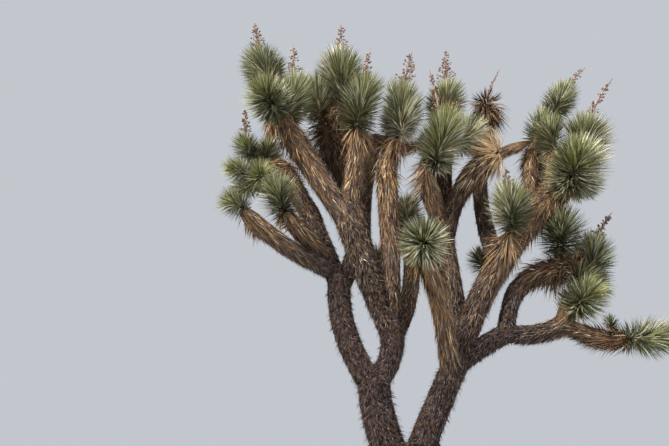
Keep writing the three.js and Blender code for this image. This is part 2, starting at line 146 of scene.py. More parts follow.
BARK_PATCH_STRETCH = (3, 3, 1.6)
BARK_BUMP = 0.006
BARK_COLOURS = [(0.18, "171212"), (0.45, "2c2321"), (0.66, "40342f"), (0.92, "5a4c47")]


def unit(ways):
    """The same directions, one unit long."""
    return ways / np.maximum(np.linalg.norm(ways, axis=-1, keepdims=True), 1e-9)


class Limb:
    """A trunk, stem, bough or twig: its middle line and its radius over the dead leaves."""

    def __init__(self, foot, elbow, tip, radii, parent=None, parent_share=0):
        foot, elbow, tip = (np.array(place, float) for place in (foot, elbow, tip))
        t = np.linspace(0, 1, 4 * LINE_POINTS)[:, None]
        curve = (1 - t) ** 2 * foot + 2 * t * (1 - t) * elbow + t**2 * tip
        run = np.concatenate([[0], np.cumsum(np.linalg.norm(np.diff(curve, axis=0), axis=1))])
        self.length = run[-1]
        even = np.linspace(0, self.length, LINE_POINTS)
        self.points = np.stack([np.interp(even, run, column) for column in curve.T], axis=1)
        self.ways = unit(np.gradient(self.points, axis=0))
        across = np.cross(elbow - foot, tip - foot)
        if np.linalg.norm(across) < 1e-6:
            across = np.cross(tip - foot, (0.0, 1.0, 0.0))
        self.across = unit(across)
        self.radii = radii * np.ones(LINE_POINTS)
        self.parent = parent
        self.parent_share = parent_share
        self.tip_age = None

    def sample(self, table, shares):
        steps = np.clip(shares, 0, 1) * (LINE_POINTS - 1)
        return np.stack([np.interp(steps, range(LINE_POINTS), column) for column in table.T], -1)

    def way(self, shares):
        return unit(self.sample(self.ways, shares))

    def below(self, shares):
        """Shares of the parent's length, for places that lie below this limb's own foot."""
        return self.parent_share + np.minimum(shares, 0) * self.length / self.parent.length

    def at(self, shares):
        """Places on the middle line, which goes on down the parent and straight on at the tip."""
        shares = np.asarray(shares, float)
        beyond = (shares - np.clip(shares, 0, 1)) * self.length
        places = self.sample(self.points, shares) + self.way(shares) * beyond[..., None]
        if self.parent is None:
            return places
        return np.where((shares < 0)[..., None], self.parent.at(self.below(shares)), places)

    def radius(self, shares):
        own = np.interp(shares, np.linspace(0, 1, LINE_POINTS), self.radii)
        if self.parent is None:
            return own
        return np.where(np.asarray(shares) < 0, self.parent.radius(self.below(shares)), own)

    def out(self, shares, angles):
        """Directions straight out of the limb, all round it."""
        normal = np.cross(self.way(shares), self.across)
        return np.cos(angles)[..., None] * self.across + np.sin(angles)[..., None] * normal

    def station(self, share, width):
        """The matrix that lays a unit circle round the limb."""
        radius = float(self.radius(share)) * width
        way = self.way(share)
        ring = Matrix.Identity(4)
        ring.col[0] = (*(self.across * radius), 0)
        ring.col[1] = (*(np.cross(way, self.across) * radius), 0)
        ring.col[2] = (*way, 0)
        ring.col[3] = (*self.at(share), 1)
        return ring


def draw_tube(bm, stations, sides):
    """A closed tube: a round cap drawn on from each station to the next."""
    ring = bmesh.ops.create_circle(bm, cap_ends=True, segments=sides, radius=1)["verts"]
    bmesh.ops.transform(bm, matrix=stations[0], verts=ring)
    cap = ring[0].link_faces[0]
    for before, after in zip(stations, stations[1:]):
        drawn = bmesh.ops.extrude_face_region(bm, geom=[cap])["geom"]
        cap = next(item for item in drawn if isinstance(item, bmesh.types.BMFace))
        bmesh.ops.transform(bm, matrix=after @ before.inverted(), verts=cap.verts)


def draw_limb(bm, limb, width):
    steps = max(3, round(limb.length / LIMB_STEP))
    stations = [limb.station(share, width) for share in np.linspace(0, 1, steps + 1)]
    draw_tube(bm, stations, LIMB_SIDES)


def fork_opened(shares):
    """How far the trunk has opened from round at its waist to oval at the fork, at a height."""
    opening = np.clip((shares - FORK_OPENS_FROM) / (1 - FORK_OPENS_FROM), 0, 1)
    return opening**2 * (3 - 2 * opening)


def draw_trunk(bm):
    """The trunk: flared and buttressed at the foot, oval where the stems part."""
    heights = np.linspace(0, TRUNK_HEIGHT, TRUNK_STEPS + 1)
    draw_tube(bm, [Matrix.Translation((0, 0, height)) for height in heights], TRUNK_SIDES)
    for vertex in bm.verts:
        share = vertex.co.z / TRUNK_HEIGHT
        angle = math.atan2(-vertex.co.y, vertex.co.x)
        flare = math.exp(-vertex.co.z / FLARE_HEIGHT)
        lobes = 1 + BUTTRESS_DEPTH * flare * math.cos(BUTTRESSES * angle)
        around = (WAIST_RADIUS + (FOOT_RADIUS - WAIST_RADIUS) * flare) * lobes
        opened = fork_opened(share)
        vertex.co.x *= around + (FORK_HALF_WIDTH - around) * opened
        vertex.co.y *= around + (FORK_HALF_DEPTH - around) * opened
        vertex.co.x += TRUNK_LEAN * share


def new_piece(name, mesh, materials, nodes):
    """A finished piece: its materials, the tree it rides on and the CAD nodes it stands for."""
    piece = bpy.data.objects.new(name, mesh)
    for material in materials:
        mesh.materials.append(material)
    bpy.context.scene.collection.objects.link(piece)
    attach(piece, "root")
    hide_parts(*nodes)


def grown_together(bm, name, voxel):
    """One even skin over all the tubes in bm, with the crotches between them filled a little."""
    bmesh.ops.recalc_face_normals(bm, faces=bm.faces)
    rough = bpy.data.meshes.new(name)
    bm.to_mesh(rough)
    bm.free()
    body = bpy.data.objects.new(name, rough)
    bpy.context.scene.collection.objects.link(body)
    remesh = body.modifiers.new("remesh", "REMESH")
    remesh.mode = "VOXEL"
    remesh.voxel_size = voxel
    settle = body.modifiers.new("settle", "SMOOTH")
    settle.factor = SETTLING
    settle.iterations = SETTLING_ROUNDS
    shaped = body.evaluated_get(bpy.context.evaluated_depsgraph_get())
    skin = bpy.data.meshes.new_from_object(shaped)
    bpy.data.objects.remove(body)
    bpy.data.meshes.remove(rough)
    skin.name = name
    return skin


def carve_bark(mesh, depth, plate_width, plate_length):
    """Sinks furrows between the plates, and keeps how deep each point lies for the colour."""
    count = len(mesh.vertices)
    places = np.empty(3 * count)
    normals = np.empty(3 * count)
    mesh.vertices.foreach_get("co", places)
    mesh.vertices.foreach_get("normal", normals)
    places = places.reshape(-1, 3)
    relief = np.empty(count)
    for i, place in enumerate(places):
        here = Vector(place)
        bend = noise.noise_vector(here * PLATE_BEND_SCALE) * PLATE_BEND
        cell = Vector((place[0] / plate_width, place[1] / plate_width, place[2] / plate_length))
        near, next_near = noise.voronoi(cell + bend)[0][:2]
        grain = noise.fractal(here * GRAIN_SCALE, *GRAIN_FRACTAL)
        relief[i] = min(1, PLATE_EDGE * (next_near - near)) + GRAIN * grain
    on_ground = places[:, 2] < GROUND_BAND
    move = normals.reshape(-1, 3) * (relief - PLATE_TOP)[:, None] * depth
    places += np.where(on_ground[:, None], 0, move)
    places[on_ground, 2] = np.where(places[on_ground, 2] < GROUND_BAND / 2, 0, places[on_ground, 2])
    mesh.vertices.foreach_set("co", places.ravel())
    mesh.attributes.new("relief", "FLOAT", "POINT").data.foreach_set("value", relief)
    mesh.polygons.foreach_set("use_smooth", np.ones(len(mesh.polygons), bool))
    mesh.update()


def colour_of(code):
    """A colour written as on a paint card, such as 5a4c40, as the shader wants it."""
    values = [int(code[i : i + 2], 16) / 255 for i in (0, 2, 4)]
    bright = [v / 12.92 if v < 0.04045 else ((v + 0.055) / 1.055) ** 2.4 for v in values]
    return (*bright, 1)


class Finish:
    """A material and the few kinds of node that this tree's finishes are made of."""

    def __init__(self, name, roughness, gloss):
        self.material = bpy.data.materials.new(name)
        self.material.use_nodes = True
        self.nodes = self.material.node_tree.nodes
        self.links = self.material.node_tree.links
        self.shader = self.nodes["Principled BSDF"]
        self.shader.inputs["Roughness"].default_value = roughness
        self.shader.inputs["Specular IOR Level"].default_value = gloss

    def node(self, kind, inputs=(), **settings):
        """A new node: its settings, then its inputs, each a value or another node's output."""
        node = self.nodes.new("ShaderNode" + kind)
        for setting, value in settings.items():
            setattr(node, setting, value)
        for socket, value in dict(inputs).items():
            if isinstance(value, bpy.types.NodeSocket):
                self.links.new(value, node.inputs[socket])
            else:
                node.inputs[socket].default_value = value
        return node

    def noise(self, vector, scale, detail=4):
        inputs = {"Vector": vector, "Scale": scale, "Detail": detail}
        return self.node("TexNoise", inputs).outputs["Fac"]

    def stretched(self, kind, scale):
        """Texture coordinates of one kind, scaled apart along their axes."""
        source = self.node("TexCoord").outputs[kind]
        return self.node("Mapping", {"Vector": source, "Scale": scale}).outputs["Vector"]

    def ramp(self, value, stops):
        """A run of colours along value, each stop a place and a colour code."""
        ramp = self.node("ValToRGB", {"Fac": value})
        for _ in stops[2:]:
            ramp.color_ramp.elements.new(0.5)
        for element, (place, code) in zip(ramp.color_ramp.elements, stops):
            element.position = place
            element.color = colour_of(code)
        return ramp.outputs["Color"]

    def sum_of(self, *terms):
        """The sum of pairs of an output and its weight."""
        total = 0.0
        for output, weight in terms:
            inputs = {0: output, 1: weight, 2: total}
            total = self.node("Math", inputs, operation="MULTIPLY_ADD").outputs[0]
        return total

    def finish(self, colour, height, depth):
        """Links the colour and a bump of height to the shader."""
        self.links.new(colour, self.shader.inputs["Base Color"])
        bump = self.node("Bump", {"Height": height, "Distance": depth})
        self.links.new(bump.outputs["Normal"], self.shader.inputs["Normal"])
        return self.material


def bark_finish(name, stops):
    """Corky bark: dark in the furrows, paler and scuffed on the plates, grained lengthwise."""
    finish = Finish(name, roughness=0.92, gloss=0.15)
    relief = finish.node("Attribute", attribute_name="relief").outputs["Fac"]
    grain = finish.noise(finish.stretched("Object", BARK_GRAIN_STRETCH), 1.0, 6)
    patches = finish.noise(finish.stretched("Object", BARK_PATCH_STRETCH), 1.0, 2)
    mixed = finish.sum_of((relief, 0.42), (grain, 0.35), (patches, 0.3))
    return finish.finish(finish.ramp(mixed, stops), grain, BARK_BUMP)


def grow(name, parent, share, tip, bow, radii, swell=0, swell_end=1):
    """Grows a limb from its parent's middle line to its own tip."""
    foot = limbs[parent].at(share)
    elbow = (foot + np.array(tip)) / 2 + 2 * np.array(bow)
    shares = np.linspace(0, 1, LINE_POINTS)
    taper = radii[0] + (radii[1] - radii[0]) * shares
    bulge = np.sin(np.pi * np.minimum(1, shares / swell_end) ** 2) ** 2
    limbs[name] = Limb(foot, elbow, tip, taper + swell * bulge, limbs[parent], share)


trunk_middle = (TRUNK_LEAN / 2, 0, TRUNK_HEIGHT / 2)
trunk_top = (TRUNK_LEAN, 0, TRUNK_HEIGHT)
limbs = {"trunk": Limb((0, 0, 0), trunk_middle, trunk_top, WAIST_RADIUS)}
bark_body = bmesh.new()
draw_trunk(bark_body)
for row in STEMS:
    grow(*row)
    draw_limb(bark_body, limbs[row[0]], BARK_SHARE)
BARE_NODES = list(limbs)
bark_skin = grown_together(bark_body, "bark", BARK_VOXEL)
carve_bark(bark_skin, BARK_DEPTH, PLATE_WIDTH, PLATE_LENGTH)
new_piece("bark", bark_skin, [bark_finish("bark", BARK_COLOURS)], BARE_NODES)

# The boughs
# Crooked limbs of the same wood, clothed in their own dead leaves. Each forks off another or off
# a stem. Only their dark, scarred inner bark is drawn here, at a share of the radius over leaves.
BOUGH_SHARE = 0.74
# Rows as for the stems. Two more numbers are how far the thatch swells, and how far up that ends
BOUGHS = {}
BOUGHS["left"] = [
    ("bough_left_upper", "bough_left", 0.93, (-1.1, 0.29, 4.3), (0.03, 0, 0), (0.1, 0.092)),
    ("arm_left_low", "bough_left_upper", 0.1,
     (-1.37, -0.39, 3.45), (0, -0.06, -0.075), (0.08, 0.072)),
    ("arm_left", "bough_left_upper", 0.2, (-1.01, -0.27, 3.485), (0, -0.02, -0.02), (0.08, 0.076)),
]
BOUGHS["middle"] = [
    ("bough_middle_left", "bough_middle", 0.88,
     (-0.45, -0.15, 3.65), (-0.015, 0, -0.02), (0.118, 0.152)),
    ("bough_crown_left", "bough_middle_left", 0.8, (-1, -0.25, 4.4), (-0.01, 0, 0), (0.108, 0.112)),
    ("bough_crown_front", "bough_middle_left", 0.93,
     (-0.325, -0.255, 4.4), (0.03, 0, 0), (0.108, 0.092)),
    ("bough_centre", "bough_middle", 0.88, (-0.045, -0.2, 4.06), (0.01, -0.01, 0), (0.082, 0.106)),
    ("bough_crown_back", "bough_left", 0.9,
     (-0.59, 0.32, 4.65), (0.24, 0.22, 0), (0.09, 0.105), 0.055, 1.3),
    ("bough_behind", "bough_middle", 0.82, (0.225, 0.59, 3.69), (0.11, 0, -0.06), (0.092, 0.076)),
]
BOUGHS["right"] = [
    ("arm_front", "stem_right", 0.9, (0.195, -0.62, 2.92), (0.03, -0.02, 0.05), (0.09, 0.084)),
    ("bough_right", "stem_right", 0.93, (1.61, -0.3, 3.74), (-0.07, 0, 0.14), (0.116, 0.112)),
    ("bough_inner", "bough_right", 0.14, (0.525, 0.05, 3.51), (0.02, 0.09, 0), (0.094, 0.08)),
    ("bough_inner_front", "bough_inner", 0.93,
     (0.34, -0.21, 4.01), (-0.035, 0, 0.03), (0.086, 0.098)),
    ("bough_dry", "bough_inner", 0.9,
     (1.54, 0.06, 4.475), (-0.145, -0.06, 0.15), (0.1, 0.026), 0.06, 0.72),
    ("bough_inner_back", "bough_inner", 0.88, (0.735, 0.36, 5.15), (0, 0.04, 0), (0.086, 0.084)),
    ("bough_dead", "bough_right", 0.52, (1.245, 0.55, 4.93), (-0.065, 0.18, 0), (0.09, 0.072)),
    ("bough_right_upper", "bough_right", 0.74, (1.59, 0.18, 4.42), (0.01, 0.03, 0), (0.088, 0.08)),
]
BOUGHS["low"] = [
    ("arm_low_riser", "bough_low", 0.92, (1.13, -0.06, 2.85), (-0.01, 0.01, 0.04), (0.078, 0.08)),
    ("arm_low_upper", "arm_low_riser", 0.92, (1.69, -0.06, 3.04), (-0.02, 0, 0.07), (0.078, 0.08)),
    ("arm_low_outer", "bough_low", 0.92, (1.455, -0.17, 2.49), (0, 0, -0.045), (0.08, 0.076)),
    ("arm_low_twig", "arm_low_outer", 0.9, (1.575, -0.17, 2.705), (-0.01, 0, 0), (0.072, 0.07)),
    ("arm_low_reach", "arm_low_outer", 0.94, (1.88, -0.25, 2.335), (0, 0, -0.04), (0.066, 0.062)),
]
BOUGHS["back"] = [
    ("bough_back_left", "bough_left_upper", 0.42,
     (-1.38, 0.95, 4.56), (0.14, 0.06, 0.05), (0.086, 0.078)),
    ("bough_back_middle", "bough_middle_left", 0.45,
     (-0.01, 1.08, 5.17), (-0.08, 0.22, -0.05), (0.086, 0.078)),
    ("bough_back_right", "bough_right", 0.3, (2.12, 0.93, 4.52), (0, 0.06, 0), (0.096, 0.08)),
]

all_boughs = [row for rows in BOUGHS.values() for row in rows]
for row in all_boughs:
    grow(*row)
bough_body = bmesh.new()
bough_nodes = [row[0] for row in all_boughs]
for name in bough_nodes:
    draw_limb(bough_body, limbs[name], BOUGH_SHARE)

# The twigs and heads
# Each bough ends in short twigs, and each twig in a head: a rosette of leaves round its last
# hand's breadth. The twigs have the boughs' inner bark and are grown together with them.
LONG = 1.1
TWIG_FOOT_SHARE = 0.84
TWIG_BEND_SHARE = 0.8
NECK_SHARE = 0.74
LONGEST_NECK = 0.8
NECK_RADIUS = 0.036
BROOM_LENGTH = 0.24
BOUGH_VOXEL = 0.019
INNER_BARK_DEPTH = 0.008
INNER_PLATE_WIDTH = 0.03
INNER_PLATE_LENGTH = 0.05
INNER_BARK_COLOURS = [(0.2, "15100d"), (0.5, "281f19"), (0.72, "3a2d23"), (0.95, "544334")]


@dataclass
class Head:
    """One head of leaves."""

    at: tuple  # the middle of its ball of leaves
    reach: float  # how far its leaves reach from there
    face: tuple  # the way its heart faces
    long: float = LONG  # how much longer it is that way
    stalk: tuple = None  # the tip of its flower stalk
    bush: float = 1  # how bushy that stalk is
    skirt: float = 1  # how full its skirt of dead leaves is
    tone: float = 0  # painted light and shade: above 0 where its leaves are painted brighter as sunlit, and below 0 where they are painted darker as shaded
    painted_highlight: tuple = (0, 0, 0)  # the way its leaves point that are painted cream, a painted highlight where the sun glints off them

    def __post_init__(self):
        self.at = np.array(self.at)
        self.face = unit(np.array(self.face, float))
        self.painted_highlight = np.array(self.painted_highlight, float)


# The masses of foliage by the part of the crown they stand in: the name of each, the bough it
# grows on, at which share of its length, and its heads
MASSES = {}
MASSES["left"] = [
    ("rosette_left_top", "bough_left_upper", 1, [
        Head((-1.475, 0.06, 4.395), 0.215, (-0.5, -0.4, 1), stalk=(-1.53, 0.04, 4.9)),
        Head((-1.29, 0.25, 4.44), 0.23, (0.2, -0.3, 1), tone=-1)]),
    ("rosette_left_front", "bough_left_upper", 0.93, [
        Head((-1.29, -0.06, 3.985), 0.225, (-0.1, -1, 0.1), tone=1),
        Head((-1.51, -0.08, 4.05), 0.2, (-1, -0.5, 0.3), tone=1),
        Head((-1.53, 0.3, 4.04), 0.19, (-0.8, 0.6, 0))]),
    ("rosette_left_arm", "arm_left", 1, [
        Head((-1.055, -0.36, 3.615), 0.25, (-0.35, -0.6, 1), long=1.2, tone=-1)]),
    ("rosette_left_low", "arm_left_low", 1, [
        Head((-1.445, -0.455, 3.495), 0.185, (-1, -0.3, 0.3))]),
]
MASSES["middle"] = [
    ("rosette_crown_left", "bough_crown_left", 1, [
        Head((-1.34, -0.06, 5.365), 0.315, (-0.5, 0.1, 1), stalk=(-1.5, -0.06, 6.06), bush=1.7)]),
    ("rosette_crown_left_front", "bough_crown_left", 0.97, [
        Head((-1.205, -0.45, 4.65), 0.3, (-0.4, -1, 0.3), tone=-0.5)]),
    ("rosette_crown_left_side", "bough_crown_left", 1, [
        Head((-0.985, -0.19, 4.84), 0.275, (0.2, 0, 1), long=1.6, stalk=(-1.01, -0.18, 5.61),
             bush=1.4, tone=1)]),
    ("rosette_crown_back", "bough_crown_back", 1, [
        Head((-0.47, 0.3, 5.52), 0.385, (-0.1, -0.1, 1), long=1.3, painted_highlight=(-0.55, 0, 0.3),
             stalk=(-0.465, 0.3, 6.4), bush=2),
        Head((-0.75, 0.3, 5.22), 0.28, (-0.15, 0, 1), long=1.5, tone=-1)]),
    ("rosette_crown_front", "bough_crown_front", 1, [
        Head((-0.275, -0.35, 4.65), 0.32, (0.3, -0.3, 1), long=1.3, stalk=(-0.17, -0.33, 5.42),
             tone=-0.4)]),
    ("rosette_centre", "bough_centre", 1, [
        Head((0.13, -0.25, 4.64), 0.305, (0, -0.1, 1), long=1.45, stalk=(0.3, -0.25, 5.44), bush=2,
             painted_highlight=(0.5, 0, -0.5))]),
    ("rosette_behind", "bough_behind", 1, [
        Head((0.27, 0.66, 3.93), 0.255, (0.1, 0.1, 1), tone=-1),
        Head((-0.05, 0.93, 3.48), 0.205, (-0.7, 0.6, 0.5)),
        Head((0.42, 1.18, 3.93), 0.23, (0.3, 1, 0.4))]),
]
MASSES["right"] = [
    ("rosette_inner_back", "bough_inner_back", 1, [
        Head((0.765, 0.4, 5.225), 0.3, (0.3, 0, 1), long=1.4, stalk=(0.85, 0.4, 6.07), bush=2.2)]),
    ("rosette_inner_front", "bough_inner_front", 1, [
        Head((0.495, -0.35, 4.23), 0.31, (0.3, -0.5, 1), long=1.4, skirt=0.5, tone=1,
             stalk=(0.458, -0.25, 5.2), painted_highlight=(0.5, 0, -0.35)),
        Head((0.84, -0.06, 4.48), 0.265, (0.8, 0, 0.7), skirt=0.15, painted_highlight=(0.9, 0, -0.4))]),
    ("rosette_front", "arm_front", 1, [
        Head((0.16, -0.76, 2.995), 0.255, (-0.1, -1, 0.1), tone=-2.2, painted_highlight=(0.25, 0, -0.25))]),
    ("rosette_right_inner", "bough_right", 0.52, [
        Head((1.01, -0.47, 3.445), 0.27, (-0.05, -0.25, 1), long=1.2, stalk=(1.01, -0.48, 3.85),
             painted_highlight=(-0.4, 0, 0.2))]),
    ("rosette_right_shade", "bough_dead", 0.1, [
        Head((0.965, 0.4, 3.24), 0.21, (-0.5, -0.3, 0.8), tone=-1)]),
    ("rosette_right_column", "bough_right_upper", 1, [
        Head((1.74, 0.195, 4.72), 0.23, (0.3, 0, 1), long=1.6, tone=-1),
        Head((2.05, 0.25, 5.16), 0.235, (0.6, 0, 1), long=1.6, stalk=(2.44, 0.25, 5.64))]),
    ("rosette_right_middle", "bough_right", 0.95, [
        Head((1.73, -0.04, 4.48), 0.265, (0, 0, 1), tone=1)]),
    ("rosette_right_outer", "bough_right", 1, [
        Head((1.975, -0.17, 4.345), 0.335, (0.4, 0, 1), painted_highlight=(0.9, 0, 0),
             stalk=(2.44, -0.17, 5.13))]),
    ("rosette_right_front", "bough_right", 0.97, [
        Head((1.6, -0.6, 3.79), 0.335, (0.15, -0.85, 0.55), tone=0.5, painted_highlight=(0.85, 0, 0.1))]),
]
MASSES["low"] = [
    ("rosette_low_upper", "arm_low_upper", 0.78, [
        Head((1.545, -0.2, 3.325), 0.295, (-0.2, -0.6, 1), tone=-1)]),
    ("rosette_low_pair", "arm_low_upper", 1, [
        Head((1.89, 0, 3.15), 0.25, (0.35, 0.1, 1), long=1.4, stalk=(2.21, 0.05, 3.64)),
        Head((1.7, -0.19, 2.835), 0.225, (0.5, -0.5, -0.7), long=1.2, tone=-1)]),
    ("rosette_low_middle", "arm_low_twig", 1, [
        Head((1.575, -0.32, 2.665), 0.24, (0.3, -0.8, 0.5))]),
    ("rosette_low_outer", "arm_low_reach", 1, [
        Head((2.085, -0.29, 2.335), 0.215, (1, -0.1, 0.05), long=1.7)]),
    ("rosette_low_shoot", "arm_low_reach", 0.82, [
        Head((1.87, -0.1, 2.5), 0.095, (0.1, 0.3, 1), long=1.3)]),
]
MASSES["back"] = [
    ("rosette_back_left", "bough_back_left", 1, [
        Head((-1.42, 1.06, 4.82), 0.29, (-0.2, 0.3, 1), long=1.3),
        Head((-1.33, 0.88, 5.64), 0.28, (0, 0, 1))]),
    ("rosette_back_middle", "bough_back_middle", 1, [
        Head((-0.36, 1.15, 5.46), 0.31, (-0.4, 0.1, 1), long=1.4),
        Head((0.29, 1.08, 5.48), 0.31, (0.1, 0, 1), long=1.5),
        Head((0.78, 1.18, 5.18), 0.3, (0.7, 0.4, 0.7))]),
    ("rosette_back_right", "bough_back_right", 1, [
        Head((2.2, 1.06, 4.83), 0.32, (0, 0.3, 1), long=1.4),
        Head((2.42, 0.83, 4.38), 0.27, (1, 0.1, 0.4)),
        Head((1.8, 1.2, 4.25), 0.26, (-0.4, 1, 0.3))]),
]
MASSES["dead"] = [
    ("head_dead", "bough_dead", 1, [
        Head((1.296, 0.56, 5.25), 0.3, (0, 0, 1), stalk=(1.545, 0.56, 5.89), bush=0.3)]),
]


def grow_twig(parent, share, head):
    """The twig of one head: as thick as its bough up to the broom of leaves under a narrow neck."""
    foot = parent.at(share)
    elbow = head.at - head.face * head.reach * TWIG_BEND_SHARE
    twig = Limb(foot, elbow, head.at, NECK_RADIUS, parent, share)
    twig.neck = 1 - min(LONGEST_NECK, NECK_SHARE * head.reach * head.long / twig.length)
    broom = max(0, twig.neck - BROOM_LENGTH / twig.length)
    thick = parent.radii[-1] * TWIG_FOOT_SHARE
    shares = np.linspace(0, 1, LINE_POINTS)
    twig.radii = np.interp(shares, (0, broom, twig.neck), (thick, thick, NECK_RADIUS))
    twig.tip_age = 0
    return twig


all_masses = [row for rows in MASSES.values() for row in rows]
twigs = {}
for name, parent, share, heads in all_masses:
    twigs[name] = [grow_twig(limbs[parent], share, head) for head in heads]
    for twig in twigs[name]:
        draw_limb(bough_body, twig, BOUGH_SHARE)
bough_skin = grown_together(bough_body, "bough_bark", BOUGH_VOXEL)
carve_bark(bough_skin, INNER_BARK_DEPTH, INNER_PLATE_WIDTH, INNER_PLATE_LENGTH)
INNER_BARK = bark_finish("inner_bark", INNER_BARK_COLOURS)
new_piece("bough_bark", bough_skin, [INNER_BARK], bough_nodes)

# The stubs of dead leaves
# Leaves that died on the stems long ago, dark and worn short, laid back along the bark. Every leaf
# on this tree is a small sharp blade, and blades of one kind are joined into one mesh.
YOUNG_LENGTH = 0.25
OLD_LENGTH = 0.06
DEAD_LENGTHS = (0.6, 1.15)
OLD_AGE = 2.0
DEAD_WIDTH = 0.0084
OLD_WIDTH_SHARE = 0.72
DEAD_WIDTHS = (0.6, 1.25)
DEAD_PER_AREA = 5900
MORE_WHEN_OLD = 0.6
STUBS_FROM = 0.5
ROOT_DEPTH = 0.66
TWIST = 0.26
DROP = 0.07
UNDERSIDE_DROP = 0.26
UNDERSIDE_HANG = 0.35
MIDDLE_DROP = 0.3
MIDDLE_LIFTS = (0.84, 0.98)
TIP_LIFTS = (0.84, 1.04)
UPSIDE_PRESSED = 0.08
STRAYS = 0.14
STRAY_LIFT = 1.3
FACE_TURN = 0.4
# A leaf's age is how far below its rosette it stands. It grows along a limb by the limb's pace: the
# stems, and the arms low down and at the left, grew slowly, and their leaves are older
FRESH_TIP = 0.12
FORK_AGE = 0.25
PACES = {"stems": 1.7, "left": 1.9, "low": 1.9}
# Colours by age: the share of each at each age
AGES = (-0.5, 0, 0.3, 0.9, 1.8, 2.6)
DEAD_COLOURS = {
    "tan": ("f0d8b2", (0.72, 0.04, 0.02, 0.01, 0.00, 0.00)),
    "golden": ("ab875d", (0.08, 0.30, 0.15, 0.02, 0.00, 0.00)),
    "straw": ("a58d70", (0.20, 0.20, 0.20, 0.12, 0.03, 0.00)),
    "rust": ("7d5b43", (0.00, 0.20, 0.24, 0.16, 0.05, 0.03)),
    "umber": ("604e42", (0.00, 0.18, 0.30, 0.36, 0.28, 0.10)),
    "soot": ("352d29", (0.00, 0.07, 0.16, 0.27, 0.30, 0.10)),
    "ash": ("7d726c", (0.00, 0.02, 0.04, 0.11, 0.17, 0.07)),
    "old_brown": ("4c3b35", (0.00, 0.00, 0.00, 0.00, 0.14, 0.38)),
    "charcoal": ("2b2426", (0.00, 0.00, 0.00, 0.00, 0.06, 0.25)),
    "slate": ("695e60", (0.00, 0.00, 0.00, 0.02, 0.07, 0.16)),
}
# A blade has rows of points at these shares of its length, each with its share of the width
DEAD_ROWS = ((0, 0.8), (0.42, 1))
FLAT = (-1, 1)
KEELED = (-1, 0, 1)
KEEL_DEPTH = 0.35
FIBRE_STRETCH = (9, 1.5, 1)
BLOTCH_SCALE = 14.0
MIXED_RANGE = (0.2, 0.8)
FIBRE_BUMP = 0.002


def blade_mesh(name, blades, rows, across):
    """Joins blades into one mesh, flat or keeled like a boat, each running out to a sharp tip."""
    root, middle, tip, face, width, colour = (np.concatenate(part) for part in zip(*blades))
    bend = 2 * middle - (root + tip) / 2
    points = []
    for share, shape in rows:
        spine = (1 - share) ** 2 * root + 2 * share * (1 - share) * bend + share**2 * tip
        along = unit((1 - share) * (bend - root) + share * (tip - bend))
        side = unit(np.cross(along, face))
        half = (width * shape / 2)[:, None]
        keel = np.cross(side, along) * half * KEEL_DEPTH
        points += [spine + side * half * column + keel * abs(column) for column in across]
    points = np.stack([*points, tip], axis=1)
    wide = len(across)
    each = wide * len(rows) + 1
    faces = [
        (wide * r + c, wide * r + c + 1, wide * (r + 1) + c + 1, wide * (r + 1) + c)
        for r in range(len(rows) - 1)
        for c in range(wide - 1)
    ]
    faces += [(each - 1 - wide + c, each - wide + c, each - 1) for c in range(wide - 1)]
    corners = [corner for one in faces for corner in one]
    starts = np.cumsum([0] + [len(one) for one in faces[:-1]])
    count = len(root)
    mesh = bpy.data.meshes.new(name)
    mesh.vertices.add(count * each)
    mesh.vertices.foreach_set("co", points.ravel())
    mesh.loops.add(count * len(corners))
    blade = np.arange(count)[:, None]
    mesh.loops.foreach_set("vertex_index", (blade * each + np.array(corners)).ravel())
    mesh.polygons.add(count * len(faces))
    mesh.polygons.foreach_set("loop_start", (blade * len(corners) + starts).ravel())
    mesh.polygons.foreach_set("material_index", np.repeat(colour, len(faces)))
    mesh.polygons.foreach_set("use_smooth", np.ones(count * len(faces), bool))
    spread = [((column + 1) / 2, share) for share, _ in rows for column in across] + [(0.5, 1)]
    spread = np.array([spread[corner] for corner in corners])
    mesh.uv_layers.new(name="blade").data.foreach_set("uv", np.tile(spread.ravel(), count))
    tone = mesh.attributes.new("tone", "FLOAT", "FACE")
    tone.data.foreach_set("value", np.repeat(chance.random(count), len(faces)))
    mesh.update(calc_edges=True)
    return mesh


def deal(table, key, places):
    """Deals one of the table's colours to each place along key, by the shares it gives."""
    shares = np.stack([np.interp(places, key, row) for _, row in table.values()])
    bounds = np.cumsum(shares, axis=0) / shares.sum(axis=0)
    return (chance.random(len(places)) > bounds).sum(axis=0)


def blade_piece(name, blades, rows, across, finishes, nodes):
    """A finished piece of joined blades."""
    new_piece(name, blade_mesh(name, blades, rows, across), finishes, nodes)


